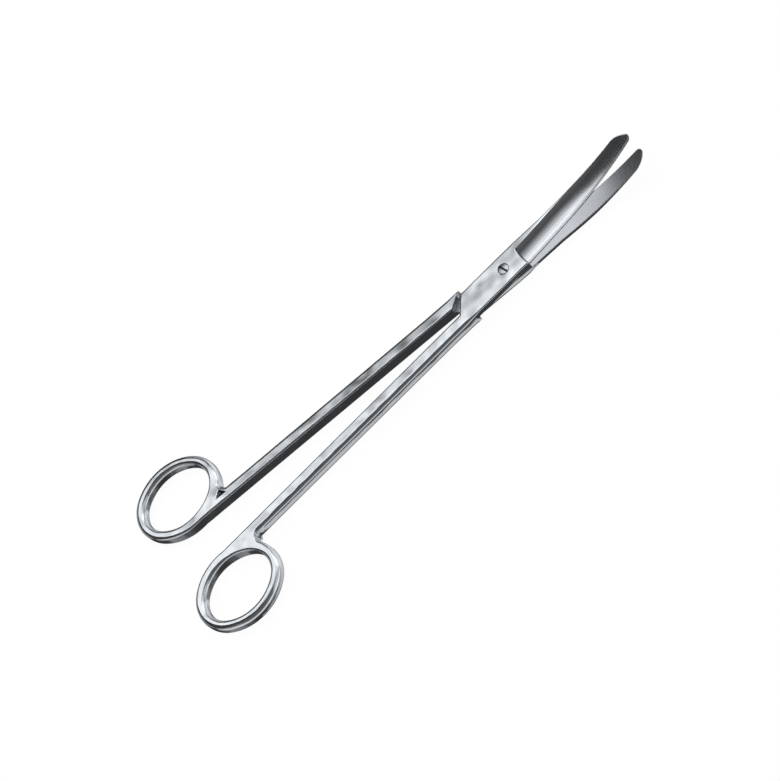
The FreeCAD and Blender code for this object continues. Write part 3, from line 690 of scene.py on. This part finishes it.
halves = {}
for name, bend, cutter_profile in (("upper_half_forging", 1, seat), ("lower_half_forging", -1, bore)):
    points, faces, kinds, cap = half_points(bend)
    piece = new_object(name, place_half(points, bend), faces, kinds, cap)
    for _ in FINISHES:
        piece.data.materials.append(None)
    cut_away(piece, new_object("cutter", *turned(cutter_profile)))
    smooth_with_edges(piece)
    halves[name] = piece
    print(name, "after the drill:", len(piece.data.polygons), "faces")

# %% [markdown]
# ## The screw
# The joint screw is turned on a lathe: a shallow domed head, a plain pin and the end of the thread, which
# is filed flush with the lower half. Its slot is sawn with a thin disc, whose worn rim leaves a round
# bottom, so the slot is cut from the turned body.

# %% Turn the screw and saw its slot
SLOT_WIDE, SLOT_DEEP, SLOT_TURN = 0.72, 0.5, math.radians(17.7)
SAW_REACH = 2.4
dome_start = HEAD - 0.1
dome = np.linspace(0.0, 1.0, 12)
head_profile = [(dome_start * (1 - u), HALF - 0.02 + HEAD_CROWN * (1 - (1 - u) ** 2)) for u in dome]
screw_profile = [(0, -HALF), (THREAD - CHAMFER, -HALF), (THREAD, -HALF + CHAMFER), (THREAD, -FACE),
                 (PIN, -FACE), (PIN, HALF - HEAD_DEEP), (HEAD, HALF - HEAD_DEEP), (HEAD, HALF - 0.12),
                 (HEAD - 0.03, HALF - 0.05)]
screw = new_object("slotted_joint_screw", *turned(screw_profile + head_profile))

bottom = np.radians(np.linspace(0, -180, 17))
outline = np.vstack(([(1.0, 1.0)], np.stack((np.cos(bottom), np.sin(bottom)), axis=1), [(-1.0, 1.0)]))
across = outline[:, 0] * SLOT_WIDE / 2
height = np.where(outline[:, 1] > 0.5, HALF + 1.0, HALF - SLOT_DEEP + SLOT_WIDE / 2 * (1 + outline[:, 1]))
corners = len(outline)
saw = np.vstack([np.column_stack((np.full(corners, end), across, height)) for end in (-SAW_REACH, SAW_REACH)])
turn = np.array(((math.cos(SLOT_TURN), math.sin(SLOT_TURN)), (-math.sin(SLOT_TURN), math.cos(SLOT_TURN))))
saw[:, :2] = saw[:, :2] @ turn
saw[:, 2] += HALF
number = np.arange(corners)
following = (number + 1) % corners
saw_sides = np.column_stack((number, following, following + corners, number + corners)).tolist()
cut_away(screw, new_object("saw", saw * MM, [tuple(number), tuple(number + corners)] + saw_sides))
smooth_with_edges(screw)
print("screw after the saw:", len(screw.data.polygons), "faces")

# %% [markdown]
# ## Steel, finish by finish
# Such scissors are forged from hardenable stainless steel. The forging is polished on felt wheels, which
# leaves a slight waviness and very fine lines; the hollow and the inner faces are ground across the blade
# on a stone; the edge is honed. Corners that no wheel reaches are left rough, and their colour is darkened
# as painted shade; the sawn slot is rough and painted dark as shade too. The rest is one metal, so that
# mainly roughness, lines and waviness differ.

# %% Write the materials


def linear(code):
    """An sRGB colour such as #c8cacc as linear red, green, blue and alpha."""
    channels = [int(code[start:start + 2], 16) / 255 for start in (1, 3, 5)]
    return [c / 12.92 if c <= 0.04045 else ((c + 0.055) / 1.055) ** 2.4 for c in channels] + [1.0]


def add_node(tree, kind, settings=None, links=None):
    """Adds one node; settings name its options or inputs, links name inputs and the sockets they take."""
    node = tree.nodes.new(kind)
    for name, value in (settings or {}).items():
        if name in node.inputs:
            node.inputs[name].default_value = value
        elif name.isdigit():
            node.inputs[int(name)].default_value = value
        else:
            setattr(node, name, value)
    for name, socket in (links or {}).items():
        tree.links.new(socket, node.inputs[int(name)] if name.isdigit() else node.inputs[name])
    return node


STAIN_MM, STAIN_SHADE = 5.0, 0.93


def steel(name, colour, rough, line_mm, line_deep, wave_mm, wave_deep, spread=0.04, stretch=(1.0, 1.0, 1.0)):
    """Polished or ground steel: the roughness drifts, fine lines and a slow waviness move the reflection."""
    material = bpy.data.materials.new(name)
    material.use_nodes = True
    tree = material.node_tree
    shader = tree.nodes["Principled BSDF"]
    shader.inputs["Metallic"].default_value = 1.0
    place = add_node(tree, "ShaderNodeTexCoord").outputs["Object"]
    stretched = add_node(tree, "ShaderNodeMapping", {"Scale": stretch}, {"Vector": place}).outputs["Vector"]
    noises = ((line_mm, 2.0, stretched), (wave_mm, 1.0, place), (STAIN_MM, 4.0, place))
    lines, waves, stains = (add_node(tree, "ShaderNodeTexNoise", {"Scale": 1 / (size * MM), "Detail": detail},
                                     {"Vector": where}).outputs["Fac"] for size, detail, where in noises)
    drift = add_node(tree, "ShaderNodeMapRange", {"To Min": rough - spread, "To Max": rough + spread},
                     {"Value": stains})
    light = linear(colour)
    shaded = [STAIN_SHADE * channel for channel in light[:3]] + [1.0]
    tint = add_node(tree, "ShaderNodeMix", {"data_type": "RGBA", "6": shaded, "7": light}, {"0": stains})
    slow = add_node(tree, "ShaderNodeBump", {"Strength": 1.0, "Distance": wave_deep * MM}, {"Height": waves})
    fine = add_node(tree, "ShaderNodeBump", {"Strength": 1.0, "Distance": line_deep * MM},
                    {"Height": lines, "Normal": slow.outputs["Normal"]})
    tree.links.new(tint.outputs[2], shader.inputs["Base Color"])
    tree.links.new(drift.outputs["Result"], shader.inputs["Roughness"])
    tree.links.new(fine.outputs["Normal"], shader.inputs["Normal"])
    return material


# Felt-polished 420 steel: a soft mirror, cool and bright, with faint lines along the shank. They are drawn
# 0.35 mm apart, coarser than those of a real wheel, so that they show at all.
polished = steel("felt_polished_steel", "#cfd2d4", rough=0.17, line_mm=0.35, line_deep=0.0012, wave_mm=8.0,
                 wave_deep=0.34, stretch=(1.0, 0.08, 1.0))
# Hollow-ground steel: a duller sheen, lines of the stone across the blade, 0.3 mm apart.
ground = steel("hollow_ground_steel", "#cbced0", rough=0.2, line_mm=0.3, line_deep=0.002, wave_mm=8.0,
               wave_deep=0.04, stretch=(0.1, 1.0, 1.0))
# Flat-ground inner faces that slide on each other: a satin grey.
sliding = steel("flat_ground_steel", "#c8cacd", rough=0.26, line_mm=0.3, line_deep=0.002, wave_mm=10.0,
                wave_deep=0.02, stretch=(0.1, 1.0, 1.0))
# The honed edge: lines of the honing stone scatter light, so it stays pale where the hollow is dark.
honed = steel("honed_steel", "#dcdee0", rough=0.38, line_mm=0.2, line_deep=0.0006, wave_mm=8.0,
              wave_deep=0.005, stretch=(1.0, 0.1, 1.0))
# The corners that no wheel reaches are rough from grinding; their dark colour is painted shade for these
# creases and recesses.
dull_shaded_corner_steel = steel("dull_corner_painted_shade", "#55575b", rough=0.5, line_mm=0.2, line_deep=0.003, wave_mm=4.0,
                     wave_deep=0.01, spread=0.05)
# The turned and filed screw, a softer steel that looks a little greyer.
turned_steel = steel("turned_screw_steel", "#bfc1c4", rough=0.24, line_mm=0.25, line_deep=0.002, wave_mm=3.0,
                     wave_deep=0.02, spread=0.05)
# The sawn slot is left rough, and its dark colour is painted shade, so it reads as a dark line across the
# bright head.
sawn_shaded_steel = steel("sawn_slot_painted_shade", "#6c6d70", rough=0.5, line_mm=0.1, line_deep=0.004, wave_mm=3.0,
                   wave_deep=0.01, spread=0.05)

for name, body, node in (("upper_half_forging", "upper", "upper_half"),
                         ("lower_half_forging", "lower", "lower_half")):
    piece = halves[name]
    for index, material in enumerate((polished, ground, sliding, honed, dull_shaded_corner_steel)):
        piece.data.materials[index] = material
    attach(piece, body)
    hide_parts(node)
screw.data.materials.clear()
screw.data.materials.append(turned_steel)
screw.data.materials.append(sawn_shaded_steel)
# Painted shade: the faces in the slot take the dark sawn steel.
centres = np.empty(len(screw.data.polygons) * 3)
screw.data.polygons.foreach_get("center", centres)
centres = centres.reshape(-1, 3) / MM
off_slot = np.abs(centres[:, :2] @ (-math.sin(SLOT_TURN), math.cos(SLOT_TURN)))
below_top = 2 * HALF - centres[:, 2]
in_slot = (off_slot <= SLOT_WIDE / 2 + 0.001) & (below_top < SLOT_DEEP + 0.01) & (below_top > 0.02)
screw.data.polygons.foreach_set("material_index", in_slot.astype(np.int32))
print("faces in the slot", in_slot.sum())
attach(screw, "lower")
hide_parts("joint_screw")
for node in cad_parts.values():
    for slot_of_node in node.material_slots:
        slot_of_node.material = polished
print("materials:", [material.name for material in bpy.data.materials])

# %% [markdown]
# ## The studio
# Polished steel looks like what it reflects. In the photograph the flat faces are bright, the side walls
# nearly black, and the round rims pass from one to the other. So the studio is dark cloth with one large,
# patchy soft light high on the left, the key, which ends sharply. A strip low on the right, haze and weak
# lights behind, beside and far off draw the thin light lines on walls and rims and keep the other views
# from going black. The picture itself is cut out on white. The world holds all this by direction.

# %% Write the studio as a function of direction
DARK_CLOTH, HAZE_SHIFT, FOLD_SCALE = 0.052, 0.1, 7.0
# The key's end leans with the turn, but not beyond the turn at which a flat face sees the studio.
KEY_SLANT, FLAT_TURN = 0.006, -36.7
# Each light: its level, then its bands: a measure, where the light is out, and where it is full. The
# measures are "turn", in degrees about Y from straight up and positive to +X, "ahead" and "up", the
# direction's y and z, "aside" and "slant", which come from them, and "folds", a noise. A band rises in a
# smooth s, but one with two more numbers goes straight from the first of these brightnesses to the second.
LIGHTS = {
    "strip": (0.95, ("turn", 86, 98), ("turn", 130, 118)),
    "haze": (0.26, ("aside", 0.12, 0.5), ("turn", 50, 95), ("folds", 0.35, 0.62, 0.15, 1.2),
             ("ahead", 0.55, 0.4)),
    "behind": (0.75, ("ahead", 0.45, 0.7), ("up", -1, -0.7), ("folds", 0.38, 0.55, 0.5, 1.05)),
    "fill": (0.09, ("turn", 10, 40), ("turn", 110, 85)),
    "beside": (0.5, ("turn", -50, -70), ("ahead", 0.05, 0.3)),
    "far left": (0.45, ("ahead", -0.3, -0.55), ("turn", -62, -80), ("turn", -150, -125)),
    "far right": (0.22, ("ahead", -0.5, -0.75), ("turn", 30, 60)),
    "key": (2.1, ("turn", -46, -35), ("turn", 18, -34, 0, 1), ("slant", -0.075, -0.01),
            ("folds", 0.38, 0.55, 0.5, 1.05)),
}


def studio_light(tree):
    """Brightness by direction: cloth + the sum of each light's level * the product of all its bands."""
    heading = add_node(tree, "ShaderNodeTexCoord").outputs["Generated"]
    x, ahead, up = add_node(tree, "ShaderNodeSeparateXYZ", {}, {"Vector": heading}).outputs
    radians = add_node(tree, "ShaderNodeMath", {"operation": "ARCTAN2"}, {"0": x, "1": up})
    turn = add_node(tree, "ShaderNodeMath", {"operation": "DEGREES"}, {"0": radians.outputs[0]}).outputs[0]
    shifted = add_node(tree, "ShaderNodeMath", {"operation": "ADD", "1": HAZE_SHIFT}, {"0": ahead})
    aside = add_node(tree, "ShaderNodeMath", {"operation": "ABSOLUTE"}, {"0": shifted.outputs[0]})
    held = add_node(tree, "ShaderNodeMath", {"operation": "MAXIMUM", "1": FLAT_TURN}, {"0": turn})
    slant = add_node(tree, "ShaderNodeMath", {"operation": "MULTIPLY_ADD", "1": -KEY_SLANT},
                     {"0": held.outputs[0], "2": ahead})
    folds = add_node(tree, "ShaderNodeTexNoise", {"Scale": FOLD_SCALE, "Detail": 1.0}, {"Vector": heading})
    measures = {"turn": turn, "ahead": ahead, "up": up, "aside": aside.outputs[0], "slant": slant.outputs[0],
                "folds": folds.outputs["Fac"]}
    sum_so_far = {}
    for level, *bands in LIGHTS.values():
        product_so_far = {}
        for measure, out, full, *levels in bands:
            low, high = levels or (0.0, 1.0)
            settings = {"interpolation_type": "LINEAR" if levels else "SMOOTHSTEP", "From Min": out,
                        "From Max": full, "To Min": low, "To Max": high}
            ramp = add_node(tree, "ShaderNodeMapRange", settings, {"Value": measures[measure]})
            product = add_node(tree, "ShaderNodeMath", {"operation": "MULTIPLY", "1": level},
                               {"0": ramp.outputs["Result"]} | product_so_far)
            product_so_far = {"1": product.outputs[0]}
        total = add_node(tree, "ShaderNodeMath", {"operation": "ADD", "1": DARK_CLOTH},
                         {"0": product.outputs[0]} | sum_so_far)
        sum_so_far = {"1": total.outputs[0]}
    return total.outputs[0]


world = bpy.data.worlds.new("studio")
bpy.context.scene.world = world
world.use_nodes = True
tree = world.node_tree
tree.nodes.clear()
path = add_node(tree, "ShaderNodeLightPath")
reflected = add_node(tree, "ShaderNodeBackground", {"Color": linear("#f6f8fb")},
                     {"Strength": studio_light(tree)})
plain = add_node(tree, "ShaderNodeBackground", {"Color": (1, 1, 1, 1), "Strength": 0.8})
white = add_node(tree, "ShaderNodeBackground", {"Color": (1, 1, 1, 1), "Strength": 1.0})
unseen = add_node(tree, "ShaderNodeMixShader", {}, {"0": path.outputs["Is Glossy Ray"], "1": plain.outputs[0],
                                                    "2": reflected.outputs[0]})
seen = add_node(tree, "ShaderNodeMixShader", {}, {"0": path.outputs["Is Camera Ray"], "1": unseen.outputs[0],
                                                  "2": white.outputs[0]})
add_node(tree, "ShaderNodeOutputWorld", {}, {"Surface": seen.outputs[0]})
bpy.context.scene.view_settings.view_transform = "Standard"
print("nodes in the world:", len(tree.nodes))

# %% [markdown]
# ## Floor, card and lamp
# The pale floor just below the scissors takes their faint shadow, and no reflection sees it. A strip of lit
# card follows the outer side of the upper half, just above the floor. Only reflections see it: it draws the
# light line along the foot of the dark side wall. The soft lamp opposite the camera only lights the matt
# floor.

# %% Set the stage
FLOOR_HALF, FLOOR_DROP, FLOOR_GLOW = 3, 0.1, 0.96
CARD_LEVEL, CARD_GAP, CARD_LIFT, CARD_STEPS = 0.85, 0.6, 0.02, 80
RING_CARD_WIDTHS = (2.4, 0.5)
LAMP_SIZE, LAMP_POWER, LAMP_PLACE = 0.6, 6.0, (-0.594, -0.104, 0.798)


def empty_material(name):
    """A material whose tree has no nodes yet."""
    material = bpy.data.materials.new(name)
    material.use_nodes = True
    material.node_tree.nodes.clear()
    return material


def stage_mesh(name, points, faces, material):
    """A sheet of the stage from its points and faces, in one material."""
    mesh = bpy.data.meshes.new(name)
    mesh.from_pydata(points, [], faces)
    mesh.materials.append(material)
    sheet = bpy.data.objects.new(name, mesh)
    collection.objects.link(sheet)
    return sheet


# White paper: matt, and it glows for the camera, so that it is as white as the background beyond it.
paper = empty_material("white_paper")
tree = paper.node_tree
path = add_node(tree, "ShaderNodeLightPath")
matt = add_node(tree, "ShaderNodeBsdfDiffuse", {"Color": linear("#f4f4f4")})
glow = add_node(tree, "ShaderNodeEmission", {"Color": (1, 1, 1, 1), "Strength": 1.0})
share = add_node(tree, "ShaderNodeMath", {"operation": "MULTIPLY", "1": FLOOR_GLOW},
                 {"0": path.outputs["Is Camera Ray"]})
mixed = add_node(tree, "ShaderNodeMixShader", {}, {"0": share.outputs[0], "1": matt.outputs[0],
                                                   "2": glow.outputs[0]})
add_node(tree, "ShaderNodeOutputMaterial", {}, {"Surface": mixed.outputs[0]})
floor_corners = [(x * FLOOR_HALF, y * FLOOR_HALF, 0) for x, y in ((-1, -1), (1, -1), (1, 1), (-1, 1))]
floor = stage_mesh("pale_floor", floor_corners, [(0, 1, 2, 3)], paper)
floor.location.z = -FLOOR_DROP * MM
floor.visible_glossy = False

# White card under its own light: an even pale glow.
glowing = empty_material("lit_white_card")
tree = glowing.node_tree
card_glow = add_node(tree, "ShaderNodeEmission", {"Color": linear("#f4f6f8"), "Strength": CARD_LEVEL})
add_node(tree, "ShaderNodeOutputMaterial", {}, {"Surface": card_glow.outputs[0]})
# Along the blade and the shank the card has bends at (x, y, width), then it goes round the ring.
bends = np.array([(6.4, 9.0, 0.6), (5.6, 0.0, 1.2), (4.0, -15.0, 1.2), (5.6, -17.0, 1.2),
                  (5.2, 3 - WRIST_Y, 1.9)])
hole, outside = ring_lines(share_at_cut)
part = slice(COLUMNS + FILLET_STEPS, COLUMNS + FILLET_STEPS + CARD_STEPS)
outward = ((outside - hole) / RING_WALL)[part]
ring_inner = outside[part] + CARD_GAP * outward
ring_outer = ring_inner + np.linspace(*RING_CARD_WIDTHS, CARD_STEPS)[:, None] * outward
card_plan = np.vstack((bends[:, :2], ring_inner, bends[:, :2] + bends[:, 2:] * (1, 0), ring_outer))
card_points = place_half(np.column_stack((card_plan, np.full(len(card_plan), CARD_LIFT - HALF))), 1)
side = len(card_plan) // 2
step = np.arange(side - 1)
card_faces = np.column_stack((step, step + side, step + side + 1, step + 1))
card = stage_mesh("white_card", card_points.tolist(), card_faces.tolist(), glowing)
for sight in ("camera", "diffuse", "shadow", "transmission"):
    setattr(card, f"visible_{sight}", False)

lamp_data = bpy.data.lights.new("soft_box", "AREA")
lamp_data.size = LAMP_SIZE
lamp_data.energy = LAMP_POWER
lamp = bpy.data.objects.new("soft_box", lamp_data)
lamp.location = LAMP_PLACE
lamp.rotation_euler = (-Vector(LAMP_PLACE)).to_track_quat("-Z", "Y").to_euler()
lamp.visible_glossy = False
collection.objects.link(lamp)
print("stage:", floor.name, card.name, lamp.name)
